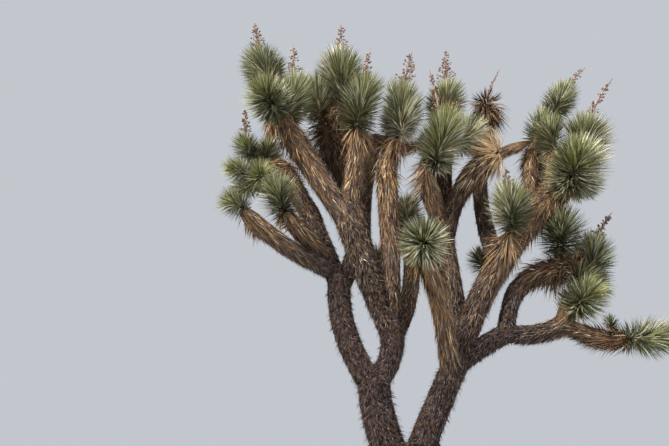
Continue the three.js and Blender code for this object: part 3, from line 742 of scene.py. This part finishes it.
def dead_leaves(limb, start=0.0, end=1.0, pace=1.0):
    """Dead leaves all round a limb, laid back along it, hanging a little under a level one."""
    area = 2 * np.pi * limb.radii.mean() * limb.length * (end - start)
    count = int(DEAD_PER_AREA * area * (1 + MORE_WHEN_OLD * (pace - 1)))
    shares = chance.uniform(start, end, count)
    angles = chance.uniform(0, 2 * np.pi, count)
    ages = (limb.tip_age + (end - shares) * limb.length) * pace
    worn = np.clip(ages / OLD_AGE, 0, 1)
    length = YOUNG_LENGTH + (OLD_LENGTH - YOUNG_LENGTH) * worn
    length *= chance.uniform(*DEAD_LENGTHS, count)
    back = shares - length / limb.length
    out = limb.out(shares, angles)
    turned = angles + chance.normal(0, TWIST, count)
    level = np.sqrt(1 - limb.way(shares)[:, 2] ** 2)
    under = np.clip(-out[:, 2], 0, 1)
    over = np.clip(out[:, 2], 0, 1)
    drop = np.zeros((count, 3))
    drop[:, 2] = length * level * (DROP + UNDERSIDE_DROP * under) * (1 - over)
    held = back + (shares - back) * UNDERSIDE_HANG * level * under
    root = limb.at(shares) + out * (ROOT_DEPTH * limb.radius(shares))[:, None]
    lift = limb.radius(held) * chance.uniform(*TIP_LIFTS, count) * (1 - UPSIDE_PRESSED * over)
    lift *= np.where(chance.random(count) < STRAYS, STRAY_LIFT, 1)
    tip = limb.at(held) + limb.out(held, turned) * lift[:, None] - drop
    half = (shares + held) / 2
    lift = limb.radius(half) * chance.uniform(*MIDDLE_LIFTS, count)
    middle = limb.at(half) + limb.out(half, (angles + turned) / 2) * lift[:, None]
    middle -= drop * MIDDLE_DROP
    face = unit(out + chance.normal(0, FACE_TURN, (count, 3)))
    width = DEAD_WIDTH * (1 + (OLD_WIDTH_SHARE - 1) * worn) * chance.uniform(*DEAD_WIDTHS, count)
    return root, middle, tip, face, width, deal(DEAD_COLOURS, AGES, ages)


def on_oval_trunk(root, middle, tip, *rest):
    """Stubs moved from a round trunk to the oval one that it opens into."""
    moved = []
    for places in (root, middle, tip):
        opened = fork_opened(places[:, 2] / TRUNK_HEIGHT)
        wide = 1 + (FORK_HALF_WIDTH / WAIST_RADIUS - 1) * opened
        deep = 1 + (FORK_HALF_DEPTH / WAIST_RADIUS - 1) * opened
        moved.append(places * np.stack([wide, deep, np.ones(len(places))], axis=1))
    return *moved, *rest


def blade_finish(name, code, roughness, gloss, contrast):
    """One leaf colour: fibres along the blade, paler and darker ones, and blotches."""
    finish = Finish(name, roughness, gloss)
    fibres = finish.noise(finish.stretched("UV", FIBRE_STRETCH), 1.0, 3)
    blotches = finish.noise(finish.node("TexCoord").outputs["Object"], BLOTCH_SCALE, 2)
    tone = finish.node("Attribute", attribute_name="tone").outputs["Fac"]
    mixed = finish.sum_of((fibres, 0.35), (blotches, 0.25), (tone, 0.4))
    levels = (mixed, *MIXED_RANGE, 1 - contrast, 1 + contrast)
    value = finish.node("MapRange", enumerate(levels)).outputs[0]
    shade = finish.node("Mix", data_type="RGBA", blend_type="MULTIPLY")
    shade.inputs["Factor"].default_value = 1
    base, factor = (socket for socket in shade.inputs if socket.type == "RGBA")
    base.default_value = colour_of(code)
    finish.links.new(value, factor)
    colour = next(socket for socket in shade.outputs if socket.type == "RGBA")
    return finish.finish(colour, fibres, FIBRE_BUMP)


def blade_finishes(colours, roughness, gloss, contrast):
    """One such finish for each colour of a table."""
    codes = [(name, code) for name, (code, _) in colours.items()]
    return [blade_finish(*named, roughness, gloss, contrast) for named in codes]


def set_ages():
    """A limb with a head has fresh leaves at its tip; one that forks is as old as its fork."""
    for _, parent, share, _ in all_masses:
        limb = limbs[parent]
        spent = FRESH_TIP - (1 - share) * limb.length
        limb.tip_age = spent if limb.tip_age is None else min(limb.tip_age, spent)
    for name, parent, share, *_ in reversed(STEMS + all_boughs):
        limb = limbs[name]
        age = (limb.tip_age or 0) + limb.length + FORK_AGE
        spent = age - (1 - share) * limbs[parent].length
        if limbs[parent].tip_age is None or spent < limbs[parent].tip_age:
            limbs[parent].tip_age = spent
    for limb in limbs.values():
        limb.tip_age = max(limb.tip_age or 0, 0)


set_ages()
DEAD_FINISHES = blade_finishes(DEAD_COLOURS, roughness=0.8, gloss=0.15, contrast=0.4)
stubs = [on_oval_trunk(*dead_leaves(limbs["trunk"], STUBS_FROM, 1, PACES["stems"]))]
stubs += [dead_leaves(limbs[row[0]], pace=PACES["stems"]) for row in STEMS]
blade_piece("stubs", stubs, DEAD_ROWS, FLAT, DEAD_FINISHES, BARE_NODES)

# The thatch of the boughs
# Dead leaves that bent back along the boughs, rust-coloured just under each rosette, shorter and
# darker further down, with looser skirts in places and one dry, fanned tuft at a bare bough's neck.
HANGING_WIDTH = 0.0092
HANGING_LENGTHS = (0.65, 1.05)
HANGING_ROOT_DEPTH = 0.5
HANGING_DROP = 0.14
HANGING_ARCH = 0.09
HANGING_FACE_RISE = 0.4
HANGING_FACE_TURN = 0.35
LEAN_SPREAD = 11
# Loose skirts: the bough, how many leaves, from which share down, how deep, their length, how far
# they lean off the bough's way at the top and at the bottom, in degrees, and their ages there
LOOSE_SKIRTS = [
    ("bough_dry", 420, 0.73, 0.06, 0.30, (130, 174), (-0.5, -0.5)),
    ("bough_dry", 420, 0.66, 0.40, 0.25, (158, 174), (-0.5, -0.1)),
    ("bough_crown_back", 620, 1.0, 0.50, 0.26, (100, 155), (0.5, 1.0)),
    ("bough_right", 700, 0.98, 0.70, 0.20, (125, 165), (0.1, 0.8)),
    ("bough_right_upper", 220, 0.95, 0.40, 0.17, (140, 168), (0.3, 0.8)),
    ("arm_low_upper", 420, 0.90, 0.36, 0.22, (115, 160), (0.2, 0.7)),
    ("arm_low_reach", 260, 0.9, 0.40, 0.16, (110, 160), (0.2, 0.7)),
    ("bough_centre", 240, 0.98, 0.40, 0.20, (130, 168), (0.0, 0.5)),
    ("bough_crown_left", 260, 0.98, 0.40, 0.20, (130, 168), (0.0, 0.5)),
]
# The dry tuft grows from the neck of its bough, against the bough's way
DRY_BOUGH = "bough_dry"
FAN_SHARE = 0.73
FAN_WAY = np.array((-0.90, -0.28, 0.22))
FAN_LENGTH = 0.36
FAN_RADIUS = 0.02
FAN_SKIRT = (560, 1.0, 0.05, FAN_LENGTH, (132, 176), (-0.5, -0.4))


def hanging_leaves(limb, count, top, depth, length, leans, ages=(0, 0.4)):
    """A loose skirt of leaves below a share of a limb: at its top they lean least off the limb's
    way, and at its bottom they hang back along it."""
    low = chance.random(count)
    shares = top - low * depth / limb.length
    angles = chance.uniform(0, 2 * np.pi, count)
    lean = leans[0] + (leans[1] - leans[0]) * low + chance.normal(0, LEAN_SPREAD, count)
    lean = np.radians(lean)
    size = (length * chance.uniform(*HANGING_LENGTHS, count))[:, None]
    out = limb.out(shares, angles)
    way = unit(limb.way(shares) + unit(limb.at(1) - limb.at(0)))
    heading = way * np.cos(lean)[:, None] + out * np.sin(lean)[:, None]
    root = limb.at(shares) + out * (HANGING_ROOT_DEPTH * limb.radius(shares))[:, None]
    tip = root + heading * size
    tip[:, 2] -= HANGING_DROP * size[:, 0]
    middle = (root + tip) / 2 + out * size * HANGING_ARCH
    turn = chance.normal(0, HANGING_FACE_TURN, (count, 3))
    face = unit(out + way * HANGING_FACE_RISE + turn)
    width = HANGING_WIDTH * chance.uniform(*DEAD_WIDTHS, count)
    age = ages[0] + (ages[1] - ages[0]) * low
    return root, middle, tip, face, width, deal(DEAD_COLOURS, AGES, age)


fan_neck = limbs[DRY_BOUGH].at(FAN_SHARE)
fan_top = fan_neck + FAN_WAY * FAN_LENGTH
fan_middle = fan_neck + FAN_WAY * FAN_LENGTH / 2
fan = hanging_leaves(Limb(fan_top, fan_middle, fan_neck, FAN_RADIUS), *FAN_SKIRT)
for group, rows in BOUGHS.items():
    names = [row[0] for row in rows]
    pace = PACES.get(group, 1)
    skirts = [dead_leaves(limbs[name], pace=pace) for name in names]
    for name, *loose in LOOSE_SKIRTS:
        if name in names:
            skirts.append(hanging_leaves(limbs[name], *loose))
    if DRY_BOUGH in names:
        skirts.append(fan)
    name = f"skirts_{group}"
    blade_piece(name, skirts, DEAD_ROWS, FLAT, DEAD_FINISHES, names)

# The brooms under the heads
# The last leaves to die hang loose all round each twig's neck, rust and straw, and the twig below
# them is thatched like its bough.
HANGING_PER_REACH = 900
HANGING_ABOVE_NECK = 0.02
HANGING_DEPTH = 0.24
HANGING_REACH_SHARE = 0.88
HANGING_LEANS = (138, 170)
# Looser skirts: the mass, which of its twigs, and the rest as for the boughs
LOOSE_TWIGS = [
    ("rosette_crown_back", 1, 620, 0.5, 0.50, 0.31, (92, 150), (0.5, 0.9)),
    ("rosette_crown_back", 0, 420, 0.6, 0.50, 0.30, (95, 150), (0.3, 0.8)),
    ("rosette_left_top", 1, 240, 0.6, 0.40, 0.24, (95, 150), (0.5, 1.2)),
    ("rosette_low_pair", 0, 240, 0.5, 0.30, 0.22, (95, 150), (0.2, 0.7)),
    ("rosette_right_inner", 0, 260, 0.5, 0.25, 0.21, (105, 168), (0.1, 0.7)),
]

for group, rows in MASSES.items():
    names = [row[0] for row in rows]
    brooms = [dead_leaves(twig, 0, twig.neck) for name in names for twig in twigs[name]]
    for name, _, _, heads in rows:
        for twig, head in zip(twigs[name], heads):
            count = int(HANGING_PER_REACH * head.reach * head.skirt)
            top = twig.neck + HANGING_ABOVE_NECK
            length = HANGING_REACH_SHARE * head.reach
            brooms.append(hanging_leaves(twig, count, top, HANGING_DEPTH, length, HANGING_LEANS))
    for name, which, *loose in LOOSE_TWIGS:
        if name in names:
            brooms.append(hanging_leaves(twigs[name][which], *loose))
    name = f"brooms_{group}"
    blade_piece(name, brooms, DEAD_ROWS, FLAT, DEAD_FINISHES, names)

# The rosettes
# Stiff green dagger leaves, keeled and sharp, set all round the end of each twig, upright in the
# heart and lower further down. The heart's bright greens are partly young leaves and partly painted
# light, and the duller greens lower down are partly older leaves and partly painted shade.
LEAVES_PER_AREA = 9300
LEAST_LEAVES = 40
LEAF_WIDTH = 0.0126
LEAF_WIDTHS = (0.75, 1.1)
LEAF_WIDTH_RISES = 0.4
USUAL_REACH = 0.27
LEAF_ROWS = ((0, 0.8), (0.5, 1))
LEAF_TIP_VARIES = 0.22
LEAF_ROOT_LOWEST = -0.3
LEAF_ROOT_RISES = 0.45
LEAF_ROOT_OUT = 0.07
LEAF_ARCH = 0.03
LEAF_ARCH_VARIES = 0.02
LEAF_FACE_TURN = 0.25
LEAF_STRAYS = 0.2
HEART_LEAF = 0.99
LOWEST_LEAF = -0.88
GOLDEN_ANGLE = math.pi * (3 - math.sqrt(5))
ASLANT = (0.31, 0.53, 0.79)
LIMB_NEARNESS = 0.8
LIMB_POINT_STEP = 4
MASS_OVERLAP = 0.03
# How far a head's tone, its painted light and shade, moves its leaves along the rise
PAINTED_LIGHT_SHIFT = 0.3
# Colours by rise, which is 1 for a leaf in the heart, 0 for a level one and less for a lower one.
# The greens high up are partly young leaves and partly painted light, and those low down are partly
# old leaves and partly painted shade
RISES = (-0.85, -0.4, 0.1, 0.6, 1)
GREEN_COLOURS = {
    "spring_green": ("9c9d68", (0.00, 0.02, 0.12, 0.34, 0.66)),
    "olive_green": ("777853", (0.20, 0.38, 0.44, 0.40, 0.26)),
    "deep_green": ("4d5040", (0.38, 0.38, 0.26, 0.12, 0.03)),
    "silver_green": ("bab9a0", (0.08, 0.15, 0.19, 0.16, 0.07)),
    "cream": ("d8d2ba", (0.01, 0.02, 0.02, 0.01, 0.00)),
    "fading": ("8b7a55", (0.35, 0.08, 0.01, 0.00, 0.00)),
}


def in_own_space(tips, own, head):
    """True where a leaf's tip is relatively nearer to its own head than to any of another mass."""
    own_depth = np.linalg.norm(tips - head.at, axis=1) - head.reach
    kept = np.ones(len(tips), bool)
    for name, _, _, heads in all_masses:
        for other in heads if name != own else []:
            other_depth = np.linalg.norm(tips - other.at, axis=1) - other.reach
            kept &= other_depth > own_depth - MASS_OVERLAP
    return kept


def clear_of_limbs(tips):
    """True where a leaf's tip stands outside every limb."""
    kept = np.ones(len(tips), bool)
    for limb in limbs.values():
        gaps = np.linalg.norm(tips[:, None] - limb.points[::LIMB_POINT_STEP], axis=2)
        kept &= (gaps - LIMB_NEARNESS * limb.radii[::LIMB_POINT_STEP]).min(axis=1) > 0
    return kept


def rosette(own, head):
    """The leaves of one head, spread by the golden angle from its heart to its underside."""
    count = int(LEAVES_PER_AREA * head.reach**2 * head.long / LONG) + LEAST_LEAVES
    place = (np.arange(count) + 0.5) / count
    rise = HEART_LEAF + (LOWEST_LEAF - HEART_LEAF) * place
    angles = np.arange(count) * GOLDEN_ANGLE + chance.normal(0, LEAF_STRAYS, count)
    first = unit(np.cross(ASLANT, head.face))
    second = np.cross(head.face, first)
    out = np.cos(angles)[:, None] * first + np.sin(angles)[:, None] * second
    reach = (head.reach * (1 - LEAF_TIP_VARIES * chance.random(count)))[:, None]
    up = rise[:, None]
    tip = head.at + head.face * up * reach * head.long + out * np.sqrt(1 - up**2) * reach
    height = LEAF_ROOT_LOWEST + LEAF_ROOT_RISES * up
    root = head.at + head.face * height * reach * head.long
    root = root + out * LEAF_ROOT_OUT * head.reach
    along = unit(tip - root)
    leans = np.sum(along * head.face, axis=1, keepdims=True)
    turn = chance.normal(0, LEAF_FACE_TURN, (count, 3))
    face = unit(head.face - along * leans + turn)
    arch = LEAF_ARCH + chance.normal(0, LEAF_ARCH_VARIES, (count, 1))
    middle = (root + tip) / 2 + face * reach * arch
    width = LEAF_WIDTH * (head.reach / USUAL_REACH) ** LEAF_WIDTH_RISES
    width = width * chance.uniform(*LEAF_WIDTHS, count)
    # The head's tone moves its leaves' colours along the rise: painted light on sunlit heads,
    # painted shade on shaded ones
    rise_with_painted_light = np.clip(rise + PAINTED_LIGHT_SHIFT * head.tone, RISES[0], RISES[-1])
    colour = deal(GREEN_COLOURS, RISES, rise_with_painted_light)
    # Leaves that point the head's highlight way are painted cream: a painted highlight where the
    # sun glints off them
    painted_highlight = chance.random(count) < (tip - head.at) @ head.painted_highlight / head.reach
    colour[painted_highlight] = list(GREEN_COLOURS).index("cream")
    kept = in_own_space(tip, own, head) & clear_of_limbs(tip)
    return tuple(part[kept] for part in (root, middle, tip, face, width, colour))


GREEN_FINISHES = blade_finishes(GREEN_COLOURS, roughness=0.42, gloss=0.5, contrast=0.42)
for group, rows in MASSES.items():
    if group != "dead":
        names = [row[0] for row in rows]
        leaves = [rosette(name, head) for name, _, _, heads in rows for head in heads]
        name = f"leaves_{group}"
        blade_piece(name, leaves, LEAF_ROWS, KEELED, GREEN_FINISHES, names)

# The dead head
# A rosette that died with its leaves on: the ones in its crown still stand out, and the others
# arch over and hang down round the twig like a mop, grey-brown.
MOP_LEAVES = 760
MOP_TOP = 0.5
MOP_DEPTH = 0.8
MOP_LENGTHS = (0.8, 1.25)
MOP_SPREADS = (0.25, 0.9)
MOP_WIDTHS = (0.6, 1.0)
MOP_ARCH_OUT = 0.62
MOP_ARCH_DOWN = 0.3
MOP_STRAYS = 0.2
MOP_FACE_TURN = 0.3
MOP_AGE = 0.5
CROWN_LEAVES = 0.18
CROWN_LENGTH = 0.7
CROWN_SPREAD = 0.9
CROWN_RISE = 0.5
CROWN_AGE = 1.2


def mop(head):
    """The leaves of the dead head, from its crown down."""
    place = (np.arange(MOP_LEAVES) + 0.5) / MOP_LEAVES
    in_crown = place < CROWN_LEAVES
    angles = np.arange(MOP_LEAVES) * GOLDEN_ANGLE + chance.normal(0, MOP_STRAYS, MOP_LEAVES)
    out = np.stack([np.cos(angles), np.sin(angles), np.zeros(MOP_LEAVES)], axis=1)
    height = (MOP_TOP - MOP_DEPTH * place) * head.reach
    root = head.at + np.array((0, 0, 1.0)) * height[:, None]
    length = head.reach * chance.uniform(*MOP_LENGTHS, MOP_LEAVES)
    length *= np.where(in_crown, CROWN_LENGTH, 1)
    spread = np.where(in_crown, CROWN_SPREAD, chance.uniform(*MOP_SPREADS, MOP_LEAVES))
    down = np.sqrt(1 - spread**2) * length * np.where(in_crown, -CROWN_RISE, 1)
    tip = root + out * (spread * length)[:, None]
    tip[:, 2] -= down
    middle = root + out * (MOP_ARCH_OUT * spread * length)[:, None]
    middle[:, 2] -= MOP_ARCH_DOWN * down
    face = unit(out + chance.normal(0, MOP_FACE_TURN, (MOP_LEAVES, 3)))
    width = LEAF_WIDTH * chance.uniform(*MOP_WIDTHS, MOP_LEAVES)
    colour = deal(DEAD_COLOURS, AGES, np.where(in_crown, CROWN_AGE, MOP_AGE))
    return root, middle, tip, face, width, colour


mops = [mop(head) for _, _, _, heads in MASSES["dead"] for head in heads]
mop_nodes = [row[0] for row in MASSES["dead"]]
blade_piece("dead_head", mops, LEAF_ROWS, KEELED, DEAD_FINISHES, mop_nodes)

# The flower stalks
# Dried panicles that still stand in some hearts: a woody stalk, papery bracts up it and short
# side stalks that each carry a dry seed case.
STALK_ROOT = 0.2
STALK_BOW = 0.18
STALK_FOOT_RADIUS = 0.015
STALK_TIP_RADIUS = 0.003
STALK_SIDES = 8
STALK_STEPS = 10
BRACTS = 46
BRACTS_FROM = 0.3
BRACTS_SPAN = 0.6
BRACTS_CROWD = 1.5
BRACT_LENGTH = 0.055
BRACT_WIDTH = 0.013
BRACT_SIZES = (0.7, 1.2)
BRACT_TAPER = 1.25
BRACT_SLOPE = 0.7
BRACT_ARCH = 0.1
CASES = 46
CASES_FROM = 0.32
CASES_SPAN = 0.58
CASES_CROWD = 1.3
CASES_BY_BUSH = 0.7
CASE_RADIUS = 0.0095
CASE_LENGTH = 0.0135
CASE_SIZES = (0.6, 1.25)
SIDE_STALK = 0.085
SIDE_STALK_RADIUS = 0.0024
SIDE_STALK_SIDES = 4
SIDE_STALK_BY_BUSH = 0.8
SIDE_STALK_TAPER = 1.1
SIDE_STALK_OUT = 0.85
SIDE_STALK_UP = 0.5
STALK_COLOURS = {
    "bract_pink": ("ab8478", (0.40, 0.35)),
    "bract_pale": ("cdbcae", (0.40, 0.25)),
    "bract_brown": ("75594d", (0.20, 0.40)),
}
WOOD_STRETCH = (60, 60, 12)
CASE_STRETCH = (22, 22, 22)
WOOD_COLOURS = [(0.3, "5c4338"), (0.5, "80645a"), (0.7, "a38a7c")]
CASE_COLOURS = [(0.3, "46352f"), (0.5, "7e6459"), (0.7, "bba79a")]


def stalk_line(head):
    """A stalk from the heart of a head to its tip, bowed a little."""
    foot = head.at + head.face * STALK_ROOT * head.reach
    tip = np.array(head.stalk)
    lean = np.array((tip[0] - foot[0], tip[1] - foot[1], 0))
    elbow = (foot + tip) / 2 - lean * STALK_BOW
    radii = np.linspace(STALK_FOOT_RADIUS, STALK_TIP_RADIUS, LINE_POINTS)
    return Limb(foot, elbow, tip, radii)


def bracts_of(line):
    """Bracts up a stalk, longer and closer together low down."""
    shares = BRACTS_FROM + BRACTS_SPAN * chance.random(BRACTS) ** BRACTS_CROWD
    angles = np.arange(BRACTS) * GOLDEN_ANGLE
    out = line.out(shares, angles)
    root = line.at(shares)
    size = BRACT_LENGTH * (BRACT_TAPER - shares) * chance.uniform(*BRACT_SIZES, BRACTS)
    size = size[:, None]
    tip = root + (line.way(shares) * BRACT_SLOPE + out * BRACT_SLOPE) * size
    middle = (root + tip) / 2 + out * size * BRACT_ARCH
    width = BRACT_WIDTH * chance.uniform(*BRACT_SIZES, BRACTS)
    return root, middle, tip, -out, width, deal(STALK_COLOURS, (0, 1), shares)


def draw_cases(line, bush):
    """Side stalks all round a stalk, longer low down, each with a seed case at its tip."""
    for i in range(int(CASES * bush**CASES_BY_BUSH)):
        share = CASES_FROM + CASES_SPAN * chance.random() ** CASES_CROWD
        out = line.out(share, np.array(i * GOLDEN_ANGLE))
        start = line.at(share)
        reach = SIDE_STALK * bush**SIDE_STALK_BY_BUSH * (SIDE_STALK_TAPER - share)
        reach *= chance.uniform(*CASE_SIZES)
        end = start + (out * SIDE_STALK_OUT + line.way(share) * SIDE_STALK_UP) * reach
        side = Limb(start, (start + end) / 2, end, SIDE_STALK_RADIUS)
        draw_tube(stalk_body, [side.station(0.0, 1), side.station(1.0, 1)], SIDE_STALK_SIDES)
        size = chance.uniform(*CASE_SIZES)
        scale = Matrix.Diagonal((CASE_RADIUS * size, CASE_RADIUS * size, CASE_LENGTH * size, 1))
        turn = Vector(end - start).to_track_quat("Z", "X").to_matrix().to_4x4()
        place = Matrix.Translation(end) @ turn @ scale
        bmesh.ops.create_icosphere(case_body, subdivisions=1, radius=1, matrix=place)


def dry_finish(name, stops, scale):
    """Dry, woody: mottled and a little rough."""
    finish = Finish(name, roughness=0.8, gloss=0.25)
    grain = finish.noise(finish.stretched("Object", scale), 1.0, 5)
    return finish.finish(finish.ramp(grain, stops), grain, FIBRE_BUMP)


def stalk_piece(bm, name, material):
    """A piece of the stalks, smooth, with its faces outwards."""
    bmesh.ops.recalc_face_normals(bm, faces=bm.faces)
    for side in bm.faces:
        side.smooth = True
    mesh = bpy.data.meshes.new(name)
    bm.to_mesh(mesh)
    bm.free()
    new_piece(name, mesh, [material], stalk_nodes)


stalked = [(row[0], head) for row in all_masses for head in row[3] if head.stalk]
stalk_nodes = sorted({name for name, _ in stalked})
stalk_body = bmesh.new()
case_body = bmesh.new()
bracts = []
for _, head in stalked:
    line = stalk_line(head)
    stations = [line.station(s, 1) for s in np.linspace(0, 1, STALK_STEPS + 1)]
    draw_tube(stalk_body, stations, STALK_SIDES)
    bracts.append(bracts_of(line))
    draw_cases(line, head.bush)
stalk_piece(stalk_body, "stalks", dry_finish("stalk", WOOD_COLOURS, WOOD_STRETCH))
stalk_piece(case_body, "seed_cases", dry_finish("seed_case", CASE_COLOURS, CASE_STRETCH))
BRACT_FINISHES = blade_finishes(STALK_COLOURS, roughness=0.8, gloss=0.2, contrast=0.25)
blade_piece("bracts", bracts, DEAD_ROWS, KEELED, BRACT_FINISHES, stalk_nodes)

# The floor
# A plain pale studio floor that the flat foot of the trunk stands on; it isn't part of the tree.
# It is matt, with a faint grain.
FLOOR_SIDE = 60
FLOOR_GRAIN = 6.0
FLOOR_BUMP = 0.001
FLOOR_COLOURS = [(0.3, "bcbcba"), (0.7, "c4c4c2")]

floor_body = bmesh.new()
bmesh.ops.create_grid(floor_body, x_segments=8, y_segments=8, size=FLOOR_SIDE / 2)
floor_mesh = bpy.data.meshes.new("floor")
floor_body.to_mesh(floor_mesh)
floor_body.free()
floor_finish = Finish("floor", roughness=0.9, gloss=0.2)
floor_grain = floor_finish.noise(floor_finish.node("TexCoord").outputs["Object"], FLOOR_GRAIN, 3)
floor_colour = floor_finish.ramp(floor_grain, FLOOR_COLOURS)
floor_mesh.materials.append(floor_finish.finish(floor_colour, floor_grain, FLOOR_BUMP))
floor = bpy.data.objects.new("floor", floor_mesh)
bpy.context.scene.collection.objects.link(floor)
